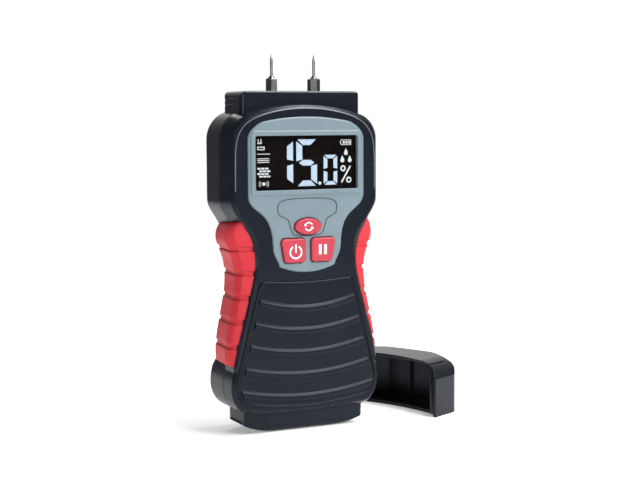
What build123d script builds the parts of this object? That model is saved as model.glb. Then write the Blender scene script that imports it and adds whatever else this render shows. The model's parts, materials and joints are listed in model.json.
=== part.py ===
from build123d import *
import os
from math import atan2, cos, radians, sin, sqrt

os.makedirs("parts", exist_ok=True)

# Moisture meter with two pins on top, a pad sensor on the back and a lift-off pin cap.
# Millimetres. Origin: centre of the foot. +Z up, the front faces -Y. Left and right are as its user sees it.

# Driving dimensions of the case
FRONT_Y = -15.0
PART_Y = -3.9
BACK_Y = 13.5
BODY_HALF = 36.9
SHOULDER_Z = 146.6
ARCH_RADIUS = 93.0
CORNER_RADIUS = 13.0
WALL = 2.2
FRONT_WALL = 2.6
FRONT_STATIONS = [(-4.2, 0.0, 0.0), (-13.4, 1.4, 0.2), (-14.9, 2.7, 1.5), (-15.0, 3.1, 1.9)]
SEAM = 0.25
BACK_ROUND = 2.6
FIT = 0.1
CUT_PAST = 2.0
BACK_GAP_Y = BACK_Y - WALL
INNER_FRONT_Y = FRONT_Y + WALL
SIDE_REACH = 45.0

# Blocks at both ends of the case, which the cap clips onto
BLOCK_HALF = 29.1
BLOCK_DEPTH = 20.6
HEAD_MID_Y = 0.0
FOOT_MID_Y = -1.9
BLOCK_TOP_Z = 151.4
BLOCK_ROUND = 2.5
BLOCK_SHOULDER = 3.2
BLOCK_TOP_BEVEL = 0.7
HEAD_BLOCK_FOOT_Z = 141.0
HEAD_GROOVES_Z = (144.6, 147.0)
CLIP_HEIGHT = 0.9
CLIP_DEPTH = 0.6
CLIP_SET_BACK = 3.2
SLOT_HEIGHT = 1.2
FOOT_BLOCK_TOP_Z = 12.6
FOOT_POCKET = 8.5
FOOT_SLOT_Z = 4.6
FOOT_FLAT = 9.0
FOOT_RISE = 4.4
FOOT_ROUND = 4.0
BLOCK_ROOM_TOP = (BLOCK_TOP_Z - 15.6, BLOCK_TOP_Z)
BLOCK_ROOM_FOOT = (0.0, FOOT_BLOCK_TOP_Z + FIT)

# Side grips
GRIP_TOP_Z = 94.8
GRIP_FOOT_Z = 31.5
GRIP_PITCH = 10.65
GROOVE = 2.2
GROOVE_DEPTH = 0.7
FIRST_GROOVE_Z = 82.6
GROOVE_COUNT = 5
GRIP_FRONT_Y = -14.0
GRIP_CREASE_Y = -7.5
GRIP_ROUND_Y = -11.4
GRIP_ROUND_SHARE = 0.7
GRIP_BED_Y = -13.9
GRIP_STEP_Y = -12.0
CORE_SIDE_Y = -6.0
GRIP_BEND_Y = 8.0
GRIP_BACK_Y = 11.0
GRIP_DRAFT = 1.6
GRIP_BACK_BEVEL = 1.8
GRIP_ROOT_X = 18.0

# Ribbed pad on the front
PAD_BACK_Y = -14.0
PAD_FRONT_Y = -15.3
PAD_TOP = (22.8, 68.6)
PAD_FOOT = (35.9, 13.4)
PAD_SAG = 1.5
PAD_EDGE = 0.4
RIB_COUNT = 5
RIB_PITCH = 9.9
FIRST_RIB_Z = 60.6
RIB_RADIUS = 2.4
RIB_DEPTH = 1.5
RIB_SAG = 3.9
RIB_DROP = 1.6
RIB_MARGIN = 1.8

# Front fascia, display and buttons
BEZEL_FRONT_Y = -15.6
BEZEL_BACK_Y = -13.8
DISPLAY_Z = 119.9
DISPLAY_SIZE = (49.8, 23.8)
FRAME_PROUD = 0.5
WINDOW_THICKNESS = 1.4
LCD_SIZE = (50.8, 26.0)
LCD_FRONT_Y = -13.7
LCD_THICKNESS = 1.8
BACKLIGHT_BACK_Y = -9.4
FRAME_FRONT_Y = -12.7
STRIP_WIDTH = 2.4
PCB_FRONT_Y = -5.6
PCB_BACK_Y = -4.0
BOARD_WIDTH = 52.0
BOARD_WIDE_Z = (100.5, 139.6)
BOARD_FOOT_WIDTH = 29.4
BOARD_FOOT_Z = 70.5
LEAD_END_Y = PCB_BACK_Y + 0.25
MODE_Z = 91.8
MODE_SIZE = (6.4, 3.6)
BUTTON_FRONT_Y = -16.9
SIDE_BUTTON = [(1.5, 86.6), (13.3, 86.6), (11.4, 76.0), (1.5, 76.0)]
SIDE_BUTTON_ROUND = 1.6
SIDE_SWITCH = (6.6, 81.3)
SWITCH_PLACES = [(0, MODE_Z), SIDE_SWITCH, (-SIDE_SWITCH[0], SIDE_SWITCH[1])]
BUTTON_GAP = 0.35
CASE_GAP = 0.8
BUTTON_EDGE = 0.6
EAR = 1.6
FLANGE_Y = (-12.5, -11.5)
STEM_RADIUS = 1.5
STEM_END_Y = -9.6
EAR_HEIGHT = 3.2
SIDE_EAR = (12.0, 81.6, 6.8, 3.2)
LOWER_EAR = (6.6, 75.4, 5.0, 4.6)

# Pins
PIN_X = 10.4
PIN_Y = -1.0
PIN_RADIUS = 0.65
PIN_TIP_Z = 167.8
PIN_TAPER = 2.6
COLLAR_FLAT = 5.0
COLLAR_HEIGHT = 5.6
COLLAR_TURN = 5
SOCKET_RADIUS = 2.2
SOCKET_FOOT_Z = 137.0
SOCKET_FLOOR = 1.0
PIN_PLACES = [(PIN_X, PIN_Y), (-PIN_X, PIN_Y)]
PIN_LEAD_Z = 129.0
LEAD_RADIUS = 0.5

# Pad sensor on the back
SENSOR_SIZE = (44.0, 46.0)
SENSOR_Z = 112.0
SENSOR_PROUD = 1.5
SENSOR_RIM = 4.0
SENSOR_PLATE_THICKNESS = 0.5
SENSOR_LEAD_XZ = [(14.0, 99.0), (19.0, 103.5)]
RATING_SIZE = (30.0, 8.0)
RATING_Z = 75.5
RATING_PROUD = 0.3

# Parts on the circuit board
SWITCH_SIZE = (5.0, 1.8)
SWITCH_KEY = (1.5, 0.8)
CHIP_SIZE = (10.0, 1.6)
CHIP_Z = 108.0
RESISTOR_PLACES = [(-18, 118), (-18, 123), (16, 100), (20, 100), (-20, 101), (6, 98), (-6, 98)]
REGULATOR_PLACES = [(12, 120), (-7, 92)]
CAPACITOR_PLACES = [(9, 80), (-9, 80)]
CAPACITOR_SIZE = (2.5, 5.0)
BUZZER_PLACE = (-16.0, 109.0)
BUZZER_SIZE = (6.0, 3.5)

# Battery bay and its door
BATTERY_SIZE = (26.5, 17.5, 46.4)
BATTERY_FOOT_Z = 18.0
BATTERY_MID_Y = 1.8
TERMINAL_X = 6.35
TERMINAL_SIZE = (2.9, 2.0)
SNAP_SIZE = (24.0, 12.0, 2.2)
BATTERY_LEAD_RADIUS = 0.7
BATTERY_LEAD_X = (6.0, 3.0)
BATTERY_LEAD_Z = (76.0, 86.5)
FOAM_SIZE = (18.0, 14.0)
FOAM_Z = 42.0
DOOR_HALF = 17.0
DOOR_TOP_Z = 68.0
DOOR_PIVOT = (12.2, 15.0)
DOOR_BARREL = 1.3
DOOR_PIN_RADIUS = 0.8
DOOR_GAP = 0.25
DOOR_PIN_LENGTH = 2.0
THUMB_GROOVES = 4
THUMB_GROOVE_PITCH = 2.4
DOOR_ROOM = (DOOR_PIVOT[1] - DOOR_BARREL - DOOR_GAP, DOOR_TOP_Z + DOOR_GAP)
HINGE_BOSS_X = DOOR_HALF + DOOR_GAP + 1.5
HINGE_BOSS_DEPTH = 1.5
TRAY_GAP = 0.3
TRAY_WALL = 1.0
TRAY_BACK_Y = 11.1

# Cap, drawn as it sits on the meter and then laid on its back beside it
CAP_FRONT_Y = -12.4
CAP_BACK_Y = 12.4
CAP_FOOT_Z = 136.0
CAP_SIDE = [(15.0, 170.4), (33.4, 157.2), (36.9, 152.4), (36.9, 120.0)]
CAP_ROUNDS = (12.0, 5.2, 5.2)
CAP_STATIONS = [(-12.4, 4.6), (-11.7, 2.3), (-10.1, 0.6), (-7.8, 0.0)]
CAP_CROWN = (20.0, -12.0)
CAP_SHOULDER = (32.2, -9.2)
CAP_SIDE_Y = -5.7
CAP_CAVITY_HALF = 29.5
CAP_CAVITY = [(13.5, 168.6), (29.5, 154.6), (29.5, 130.0)]
CAP_CAVITY_Y = (-10.7, 10.8)
CAP_RIBS = [(0.0, 168.2), (20.0, 162.6), (-20.0, 162.6)]
CAP_RIB_SIZE = (1.4, 2.6)
CLIP_BEAD_Z = HEAD_GROOVES_Z[1] + CLIP_HEIGHT / 2
CLIP_BEAD_RADIUS = 0.5
CAP_SEAT_GAP = 0.3
CAP_YAW = 25.0
CAP_NEAR_CORNER = (64.1, -18.5)

# Fasteners
SCREW_PLACES = [(30.5, 118.0), (18.0, 74.0), (29.0, 22.0)]
SCREW_PLACES += [(-x, z) for x, z in SCREW_PLACES]
SCREW_RADIUS = 1.2
SCREW_HEAD_RADIUS = 2.6
SCREW_SEAT_Y = 8.5
SCREW_HEAD_HEIGHT = 1.8
SCREW_END_Y = -10.0
SCREW_CROSS = (3.2, 0.7)
SCREW_HOLE_Y = -11.5
BOSS_RADIUS = 3.0
REAR_BOSS_RADIUS = 3.9
BOARD_POSTS = [(21.0, 137.3), (-21.0, 137.3), (11.7, 73.0), (-11.7, 73.0)]
POST_RADIUS = 1.7
BOARD_SCREW_RADIUS = 0.8
BOARD_SCREW_HEAD = (1.8, 1.3)
BOARD_SCREW_LENGTH = 6.0

# Half outlines at the waist, as (x, z) from the head down
SIDE_TOP = [(36.9, 104.0), (36.2, 100.6), (34.0, 96.8), (31.6, 92.8)]
SIDE_WAIST = [(29.2, 84.0), (27.8, 75.0), (27.6, 67.0), (28.8, 56.0), (30.9, 45.0), (33.0, 32.5)]
SIDE_FOOT = [(35.2, 28.8), (36.4, 22.6), (35.9, 17.6), (33.0, 12.4), (28.0, 9.6)]
FOOT_Z = 8.4
FACE_WAIST = [(25.2, 84.5), (23.7, 78.5), (23.9, 74.5), (25.4, 68.0), (28.0, 58.0), (30.3, 48.5),
              (32.6, 38.8)]
FACE_EDGE = [(34.2, 99.6), (29.8, 95.0), (25.2, 89.6), (23.0, 84.0), (22.9, 78.0), (24.3, 70.0),
             (27.3, 59.0), (29.8, 49.0), (32.3, 39.0), (34.8, 28.8)]
BEZEL_CORNER = [(20.0, 138.2), (25.6, 135.2), (28.2, 130.0)]
BEZEL_TONGUE = [(28.2, 106.0), (26.6, 101.6), (20.6, 96.4), (18.0, 92.0), (16.8, 86.0), (16.0, 80.0),
                (13.8, 75.4), (9.0, 72.7)]
GRIP_FACE = [(31.0, 94.8), (28.9, 91.2), (26.9, 87.6), (25.4, 82.5), (24.8, 76.5), (25.3, 71.0),
             (26.8, 64.5), (28.6, 57.5), (30.8, 49.5), (33.0, 41.5), (35.0, 31.5)]
GRIP_SIDE = [(31.2, 94.8), (34.6, 92.2), (36.0, 88.0), (35.3, 83.7), (33.4, 79.0), (32.0, 72.0),
             (32.0, 66.0), (33.5, 56.5), (35.2, 48.0), (36.6, 38.5), (36.4, 31.5)]
FRONT_WAIST = [(x + 1.2, z) for x, z in GRIP_FACE[2:-1]] + [(35.5, 32.8)]


def at_y(y):
    """Sketch plane at this depth, facing the front, so extrusions grow towards the front."""
    return Plane.XZ.offset(-y)


def save(part, node):
    part.label = node
    export_step(part, f"parts/{node}.step")


def shoulder(inset):
    """Crown joint, corner middle and side top of the shoulder's two arcs, on the +X side."""
    arch_z = SHOULDER_Z - ARCH_RADIUS
    corner_x = BODY_HALF - CORNER_RADIUS
    corner_z = arch_z + sqrt((ARCH_RADIUS - CORNER_RADIUS) ** 2 - corner_x**2)
    lean = atan2(corner_x, corner_z - arch_z)
    reach = CORNER_RADIUS - inset
    angles = (lean, (lean + radians(90)) / 2, radians(90))
    return [(corner_x + reach * sin(a), corner_z + reach * cos(a)) for a in angles]


def case_face(inset=0.0, waist=SIDE_WAIST, foot_inset=None):
    """Case outline in the XZ plane: arched head, waist and rounded foot."""
    foot_inset = inset if foot_inset is None else foot_inset
    crown, corner, side = shoulder(inset)
    right = [(x - inset, z) for x, z in SIDE_TOP + waist]
    foot = [(x - foot_inset, z) for x, z in SIDE_FOOT[:-1]]
    foot += [(SIDE_FOOT[-1][0] - foot_inset, SIDE_FOOT[-1][1] + foot_inset)]
    with BuildSketch() as face:
        with BuildLine():
            ThreePointArc((-crown[0], crown[1]), (0, SHOULDER_Z - inset), crown)
            for sign in (1, -1):
                ThreePointArc(*[(sign * x, z) for x, z in (crown, corner, side)])
                Line((sign * side[0], side[1]), (sign * right[0][0], right[0][1]))
                Spline(*[(sign * x, z) for x, z in right])
                Line((sign * right[-1][0], right[-1][1]), (sign * foot[0][0], foot[0][1]))
                Spline(*[(sign * x, z) for x, z in foot])
            ThreePointArc(foot[-1], (0, FOOT_Z + foot_inset), (-foot[-1][0], foot[-1][1]))
        make_face()
    return face.sketch


def front_face(inset, foot_inset):
    """Front shell outline: shrunk by inset, except beside the grips, where the grip beds trim it."""
    return case_face(inset, [(x + inset, z) for x, z in FRONT_WAIST], foot_inset)


def strip_face(edge, reach, sign):
    """Area between a side curve and a straight line at x = reach."""
    with BuildSketch() as face:
        with BuildLine():
            Spline(*[(sign * x, z) for x, z in edge])
            Polyline(
                (sign * edge[-1][0], edge[-1][1]),
                (sign * reach, edge[-1][1]),
                (sign * reach, edge[0][1]),
                (sign * edge[0][0], edge[0][1]),
            )
        make_face()
    return face.sketch


def x_at(edge, z):
    """Half width of a side curve at this height, between its points."""
    for (xa, za), (xb, zb) in zip(edge, edge[1:]):
        if zb <= z <= za:
            return xa + (xb - xa) * (za - z) / (za - zb)
    return edge[-1][0]


def trimmed(edge, top, foot):
    """The part of a side curve between two heights, with its ends interpolated."""
    inner = [point for point in edge if foot + 1 < point[1] < top - 1]
    return [(x_at(edge, top), top)] + inner + [(x_at(edge, foot), foot)]


CORE_SIDE = trimmed(SIDE_TOP + SIDE_WAIST + SIDE_FOOT[:1], GRIP_TOP_Z, GRIP_FOOT_Z)


def mode_face(grow=0.0):
    with BuildSketch() as face:
        with Locations((0, MODE_Z)):
            Ellipse(MODE_SIZE[0] + grow, MODE_SIZE[1] + grow)
    return face.sketch


def side_button_face(sign, grow=0.0):
    """Outline of the power button (sign -1) or the hold button (sign 1)."""
    with BuildSketch() as face:
        with BuildLine():
            Polyline(*[(sign * x, z) for x, z in SIDE_BUTTON], close=True)
        make_face()
        fillet(face.vertices(), radius=SIDE_BUTTON_ROUND)
        if grow:
            offset(amount=grow)
    return face.sketch


def bezel_face():
    """Fascia outline: wide around the display, with a tongue around the buttons."""
    with BuildSketch() as face:
        with BuildLine():
            ThreePointArc((-20.0, 138.2), (0, 140.1), (20.0, 138.2))
            for sign in (1, -1):
                corner = [(sign * x, z) for x, z in BEZEL_CORNER]
                tongue = [(sign * x, z) for x, z in BEZEL_TONGUE]
                Spline(*corner, tangents=((sign, -0.19), (0, -1)))
                Line(corner[-1], tongue[0])
                Spline(*tongue, tangents=((0, -1), (-sign, -0.28)))
            ThreePointArc((9.0, 72.7), (0, 71.5), (-9.0, 72.7))
        make_face()
    return face.sketch


def pad_face():
    """Outline of the ribbed pad, wider towards the foot."""
    with BuildSketch() as face:
        with BuildLine():
            ThreePointArc((-PAD_TOP[0], PAD_TOP[1]), (0, PAD_TOP[1] - PAD_SAG), PAD_TOP)
            for sign in (1, -1):
                Line((sign * PAD_TOP[0], PAD_TOP[1]), (sign * PAD_FOOT[0], PAD_FOOT[1]))
            ThreePointArc(PAD_FOOT, (0, PAD_FOOT[1] - 2 * PAD_SAG), (-PAD_FOOT[0], PAD_FOOT[1]))
        make_face()
        fillet(face.vertices().group_by(Axis.Y)[0], radius=9.0)
        fillet(face.vertices().group_by(Axis.Y)[-1], radius=2.5)
    return face.sketch


def rib_half(z):
    """Half length of the rib at this height, inside the pad's slanting sides."""
    slant = (PAD_FOOT[0] - PAD_TOP[0]) / (PAD_TOP[1] - PAD_FOOT[1])
    return PAD_TOP[0] + slant * (PAD_TOP[1] - z) - RIB_MARGIN


def block_face(mid_y, grow=0.0):
    """Footprint shared by the head block and the foot block."""
    with BuildSketch() as face:
        with Locations((0, mid_y)):
            RectangleRounded(
                2 * (BLOCK_HALF + grow),
                BLOCK_DEPTH + 2 * grow,
                BLOCK_ROUND + grow if grow > -BLOCK_ROUND else 0.5,
            )
    return face.sketch


def block_profile(mid_y):
    """Rectangle seen from the side: full block depth, both blocks high, centred on the block."""
    with BuildSketch() as face:
        with Locations((mid_y, BLOCK_TOP_Z / 2)):
            Rectangle(BLOCK_DEPTH, BLOCK_TOP_Z)
    return face.sketch


def block_room(mid_y, foot, top):
    """Opening in the case for a block, with an even gap around it."""
    with BuildPart() as room:
        with BuildSketch(Plane.XY.offset(foot)):
            add(block_face(mid_y, FIT))
        extrude(amount=top - foot)
    return room.part


def clip_grooves(mid_y, feet, height):
    """Grooves in both ends of a block, clear of its front corners."""
    with BuildPart() as grooves:
        for foot in feet:
            with BuildSketch(Plane.XY.offset(foot)):
                with Locations(*[(side, mid_y + CLIP_SET_BACK / 2) for side in (BLOCK_HALF, -BLOCK_HALF)]):
                    Rectangle(2 * CLIP_DEPTH, BLOCK_DEPTH - CLIP_SET_BACK)
            extrude(amount=height)
    return grooves.part


# ---------------------------------------------------------------- case shells

with BuildPart() as side_room:
    with BuildSketch(at_y(FRONT_Y - 0.1)):
        add(strip_face(FACE_EDGE, SIDE_REACH, -1))
    with BuildSketch(at_y(GRIP_BED_Y)):
        add(strip_face(GRIP_FACE, SIDE_REACH, -1))
    loft()
    with BuildSketch(at_y(GRIP_STEP_Y)):
        add(strip_face(GRIP_FACE, SIDE_REACH, -1))
    extrude(amount=GRIP_STEP_Y - FRONT_Y + 0.2)
    with BuildSketch(at_y(GRIP_STEP_Y)):
        add(strip_face(GRIP_FACE, SIDE_REACH, -1))
    with BuildSketch(at_y(CORE_SIDE_Y)):
        add(strip_face(CORE_SIDE, SIDE_REACH, -1))
    loft()

with BuildPart() as front_core:
    stations = [(PART_Y, SEAM, SEAM)] + FRONT_STATIONS
    for (rear_y, rear_inset, rear_foot), (front_y, front_inset, front_foot) in zip(stations, stations[1:]):
        with BuildSketch(at_y(rear_y)):
            add(front_face(rear_inset, rear_foot))
        with BuildSketch(at_y(front_y)):
            add(front_face(front_inset, front_foot))
        loft(ruled=True)
    add(side_room.part, mode=Mode.SUBTRACT)
    add(mirror(side_room.part, about=Plane.YZ), mode=Mode.SUBTRACT)

with BuildPart() as rear_core:
    with BuildSketch(at_y(BACK_Y)):
        add(case_face())
    extrude(amount=BACK_Y - PART_Y)
    fillet(rear_core.faces().sort_by(Axis.Y)[-1].edges(), radius=BACK_ROUND)
    chamfer(rear_core.faces().sort_by(Axis.Y)[0].edges(), length=SEAM)

with BuildPart() as front_shell:
    add(front_core.part)
    with BuildSketch(at_y(PART_Y)):
        add(case_face(FRONT_WALL, FACE_WAIST))
    extrude(amount=PART_Y - INNER_FRONT_Y, mode=Mode.SUBTRACT)
    with BuildSketch(at_y(PART_Y)):
        with Locations(*SCREW_PLACES):
            Circle(BOSS_RADIUS)
    extrude(amount=PART_Y - INNER_FRONT_Y)
    with BuildSketch(at_y(PCB_FRONT_Y)):
        with Locations(*BOARD_POSTS):
            Circle(POST_RADIUS)
    extrude(amount=PCB_FRONT_Y - INNER_FRONT_Y)
    with BuildSketch(at_y(PART_Y)):
        with Locations(*SCREW_PLACES):
            Circle(SCREW_RADIUS + FIT / 2)
        with Locations(*BOARD_POSTS):
            Circle(BOARD_SCREW_RADIUS + FIT / 2)
    extrude(amount=PART_Y - SCREW_HOLE_Y, mode=Mode.SUBTRACT)
    with BuildSketch(at_y(BEZEL_BACK_Y)):
        add(bezel_face())
    extrude(amount=CUT_PAST, mode=Mode.SUBTRACT)
    with BuildSketch(at_y(PAD_BACK_Y)):
        add(pad_face())
    extrude(amount=CUT_PAST, mode=Mode.SUBTRACT)
    with BuildSketch(at_y(INNER_FRONT_Y + 0.5)):
        with Locations((0, DISPLAY_Z)):
            Rectangle(LCD_SIZE[0] + 1.0, LCD_SIZE[1] + 1.0)
        add(mode_face(CASE_GAP))
        for sign in (1, -1):
            add(side_button_face(sign, CASE_GAP))
    extrude(amount=CUT_PAST, mode=Mode.SUBTRACT)
    add(block_room(HEAD_MID_Y, *BLOCK_ROOM_TOP), mode=Mode.SUBTRACT)
    add(block_room(FOOT_MID_Y, *BLOCK_ROOM_FOOT), mode=Mode.SUBTRACT)
save(front_shell.part, "front_shell")

with BuildPart() as rear_shell:
    add(rear_core.part)
    with BuildSketch(at_y(BACK_GAP_Y)):
        add(case_face(WALL))
    extrude(amount=BACK_GAP_Y - PART_Y, mode=Mode.SUBTRACT)
    with BuildSketch(at_y(BACK_GAP_Y)):
        with Locations(*SCREW_PLACES):
            Circle(REAR_BOSS_RADIUS)
    extrude(amount=BACK_GAP_Y - PART_Y)
    with BuildSketch(at_y(BACK_GAP_Y)):
        with Locations((HINGE_BOSS_X, DOOR_PIVOT[1]), (-HINGE_BOSS_X, DOOR_PIVOT[1])):
            Rectangle(3.0, 5.0)
    extrude(amount=HINGE_BOSS_DEPTH)
    with BuildSketch(at_y(BACK_Y)):
        with Locations(*SCREW_PLACES):
            Circle(SCREW_HEAD_RADIUS + 0.3)
    extrude(amount=BACK_Y - SCREW_SEAT_Y, mode=Mode.SUBTRACT)
    with BuildSketch(at_y(BACK_Y)):
        with Locations(*SCREW_PLACES):
            Circle(SCREW_RADIUS + 0.3)
    extrude(amount=BACK_Y - PART_Y, mode=Mode.SUBTRACT)
    with BuildSketch(at_y(BACK_Y)):
        with Locations((0, (DOOR_ROOM[0] + DOOR_ROOM[1]) / 2)):
            Rectangle(2 * (DOOR_HALF + DOOR_GAP), DOOR_ROOM[1] - DOOR_ROOM[0])
    extrude(amount=WALL + CUT_PAST, mode=Mode.SUBTRACT)
    with BuildSketch(Plane.YZ.offset(-DOOR_HALF - DOOR_PIN_LENGTH - 0.4)):
        with Locations(DOOR_PIVOT):
            Circle(DOOR_PIN_RADIUS + FIT / 2)
    extrude(amount=2 * (DOOR_HALF + DOOR_PIN_LENGTH + 0.4), mode=Mode.SUBTRACT)
    add(block_room(HEAD_MID_Y, *BLOCK_ROOM_TOP), mode=Mode.SUBTRACT)
    add(block_room(FOOT_MID_Y, *BLOCK_ROOM_FOOT), mode=Mode.SUBTRACT)
save(rear_shell.part, "rear_shell")

# ---------------------------------------------------------------- head and foot blocks

with BuildPart() as head_block:
    with BuildSketch(Plane.XY.offset(HEAD_BLOCK_FOOT_Z)):
        add(block_face(HEAD_MID_Y))
    extrude(amount=BLOCK_TOP_Z - HEAD_BLOCK_FOOT_Z)
    with BuildSketch(at_y(HEAD_MID_Y + BLOCK_DEPTH)) as front_outline:
        with Locations((0, BLOCK_TOP_Z / 2)):
            Rectangle(2 * BLOCK_HALF, BLOCK_TOP_Z)
        fillet(front_outline.vertices().group_by(Axis.Y)[-1], radius=BLOCK_SHOULDER)
    extrude(amount=2 * BLOCK_DEPTH, mode=Mode.INTERSECT)
    with BuildSketch(Plane.YZ.offset(-BLOCK_HALF - 1)) as side_outline:
        add(block_profile(HEAD_MID_Y))
        chamfer(side_outline.vertices().group_by(Axis.Y)[-1], length=BLOCK_TOP_BEVEL)
    extrude(amount=2 * BLOCK_HALF + 2, mode=Mode.INTERSECT)
    add(clip_grooves(HEAD_MID_Y, HEAD_GROOVES_Z, CLIP_HEIGHT), mode=Mode.SUBTRACT)
    with BuildSketch(Plane.XY.offset(BLOCK_TOP_Z)):
        with Locations(*PIN_PLACES):
            Circle(SOCKET_RADIUS)
    extrude(amount=HEAD_BLOCK_FOOT_Z - BLOCK_TOP_Z, mode=Mode.SUBTRACT)
save(head_block.part, "head_block")

with BuildPart() as foot_block:
    with BuildSketch(Plane.XY):
        add(block_face(FOOT_MID_Y))
    extrude(amount=FOOT_BLOCK_TOP_Z)
    with BuildSketch(Plane.YZ.offset(-BLOCK_HALF - 1)) as side_outline:
        add(block_profile(FOOT_MID_Y))
        fillet(side_outline.vertices().group_by(Axis.Y)[0].sort_by(Axis.X)[0], radius=FOOT_ROUND)
    extrude(amount=2 * BLOCK_HALF + 2, mode=Mode.INTERSECT)
    with BuildSketch(at_y(FOOT_MID_Y + BLOCK_DEPTH)):
        with BuildLine():
            TangentArc((FOOT_FLAT, 0), (BLOCK_HALF + 1, FOOT_RISE), tangent=(1, 0))
            Polyline((BLOCK_HALF + 1, FOOT_RISE), (BLOCK_HALF + 1, -1), (FOOT_FLAT, -1), (FOOT_FLAT, 0))
        make_face()
        mirror(about=Plane.YZ)
    extrude(amount=2 * BLOCK_DEPTH, mode=Mode.SUBTRACT)
    add(clip_grooves(FOOT_MID_Y, [FOOT_SLOT_Z], SLOT_HEIGHT), mode=Mode.SUBTRACT)
    with BuildSketch(Plane.XY.offset(FOOT_BLOCK_TOP_Z)):
        add(block_face(FOOT_MID_Y, -2.5))
    extrude(amount=-FOOT_POCKET + 1.5, mode=Mode.SUBTRACT)
save(foot_block.part, "foot_block")

# ---------------------------------------------------------------- grips and front pad


def grip_body(inset):
    """Outer volume of the left grip, shrunk by inset; the case core is taken from it later."""
    side = [(x - inset, z) for x, z in GRIP_SIDE]
    face = [(x_at(GRIP_FACE, z), z) for x, z in side]
    turn = [(fx + (x - fx) * GRIP_ROUND_SHARE, z) for (x, z), (fx, _) in zip(side, face)]
    bend = [(x - GRIP_DRAFT, z) for x, z in side]
    back = [(x - GRIP_BACK_BEVEL, z) for x, z in bend]
    stations = [
        (GRIP_FRONT_Y + 0.7 * inset, GRIP_FACE),
        (GRIP_ROUND_Y + 0.5 * inset, turn),
        (GRIP_CREASE_Y, side),
        (GRIP_BEND_Y, bend),
        (GRIP_BACK_Y, back),
    ]
    with BuildPart() as volume:
        for (front_y, front_edge), (rear_y, rear_edge) in zip(stations, stations[1:]):
            with BuildSketch(at_y(front_y)):
                add(strip_face(front_edge, GRIP_ROOT_X, -1))
            with BuildSketch(at_y(rear_y)):
                add(strip_face(rear_edge, GRIP_ROOT_X, -1))
            loft()
    return volume.part


with BuildPart() as left_grip:
    add(grip_body(0.0))
    for step in range(GROOVE_COUNT):
        with Locations((-30, 0, FIRST_GROOVE_Z - step * GRIP_PITCH)):
            Box(30, 40, GROOVE, mode=Mode.SUBTRACT)
    add(grip_body(GROOVE_DEPTH))
    add(front_core.part, mode=Mode.SUBTRACT)
    add(rear_core.part, mode=Mode.SUBTRACT)
left_piece = left_grip.part.solids().sort_by(SortBy.VOLUME)[-1]
save(left_piece, "left_grip")
save(mirror(left_piece, about=Plane.YZ), "right_grip")

with BuildPart() as pad_ribs:
    for step in range(RIB_COUNT):
        height = FIRST_RIB_Z - step * RIB_PITCH
        half = rib_half(height)
        bow = (half**2 + RIB_SAG**2) / (2 * RIB_SAG)
        centre = (0, PAD_FRONT_Y + RIB_DEPTH, height - RIB_SAG - RIB_DROP + bow)
        with Locations(Plane(origin=centre, z_dir=(0, -1, 0))):
            Torus(bow, RIB_RADIUS)
    with BuildSketch(at_y(PAD_FRONT_Y + 0.2)):
        offset(pad_face(), amount=-RIB_MARGIN)
    extrude(amount=RIB_RADIUS, mode=Mode.INTERSECT)

with BuildPart() as front_pad:
    with BuildSketch(at_y(PAD_BACK_Y)):
        add(pad_face())
    extrude(amount=PAD_BACK_Y - PAD_FRONT_Y)
    chamfer(front_pad.faces().sort_by(Axis.Y)[0].edges(), length=PAD_EDGE)
    add(pad_ribs.part)
save(front_pad.part, "front_pad")

# ---------------------------------------------------------------- fascia and display

with BuildPart() as bezel:
    with BuildSketch(at_y(BEZEL_BACK_Y)):
        add(bezel_face())
    extrude(amount=BEZEL_BACK_Y - BEZEL_FRONT_Y)
    chamfer(bezel.faces().sort_by(Axis.Y)[0].edges(), length=0.5)
    with BuildSketch(at_y(BEZEL_FRONT_Y)):
        with Locations((0, DISPLAY_Z)):
            RectangleRounded(DISPLAY_SIZE[0] + 4.4, DISPLAY_SIZE[1] + 4.4, 2.0)
    extrude(amount=FRAME_PROUD, taper=30)
    with BuildSketch(at_y(BEZEL_BACK_Y)):
        with Locations((0, DISPLAY_Z)):
            RectangleRounded(*DISPLAY_SIZE, 1.0)
        add(mode_face(BUTTON_GAP))
        for sign in (1, -1):
            add(side_button_face(sign, BUTTON_GAP))
    extrude(amount=4.0, mode=Mode.SUBTRACT)
save(bezel.part, "bezel")

with BuildPart() as display_window:
    with BuildSketch(at_y(BEZEL_BACK_Y)):
        with Locations((0, DISPLAY_Z)):
            RectangleRounded(DISPLAY_SIZE[0] - FIT, DISPLAY_SIZE[1] - FIT, 0.95)
    extrude(amount=WINDOW_THICKNESS)
save(display_window.part, "display_window")

with BuildPart() as lcd_glass:
    with BuildSketch(at_y(LCD_FRONT_Y + LCD_THICKNESS)):
        with Locations((0, DISPLAY_Z)):
            Rectangle(*LCD_SIZE)
    extrude(amount=LCD_THICKNESS)
save(lcd_glass.part, "lcd_glass")

with BuildPart() as backlight:
    with BuildSketch(at_y(BACKLIGHT_BACK_Y)):
        with Locations((0, DISPLAY_Z)):
            Rectangle(LCD_SIZE[0], LCD_SIZE[1] - 2 * STRIP_WIDTH - 0.8)
    extrude(amount=BACKLIGHT_BACK_Y - LCD_FRONT_Y - LCD_THICKNESS)
save(backlight.part, "backlight")

with BuildPart() as contact_strips:
    with BuildSketch(at_y(PCB_FRONT_Y)):
        for sign in (1, -1):
            with Locations((0, DISPLAY_Z + sign * (LCD_SIZE[1] - STRIP_WIDTH) / 2)):
                Rectangle(LCD_SIZE[0] - 6, STRIP_WIDTH)
    extrude(amount=PCB_FRONT_Y - LCD_FRONT_Y - LCD_THICKNESS)
save(contact_strips.part, "contact_strips")

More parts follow.
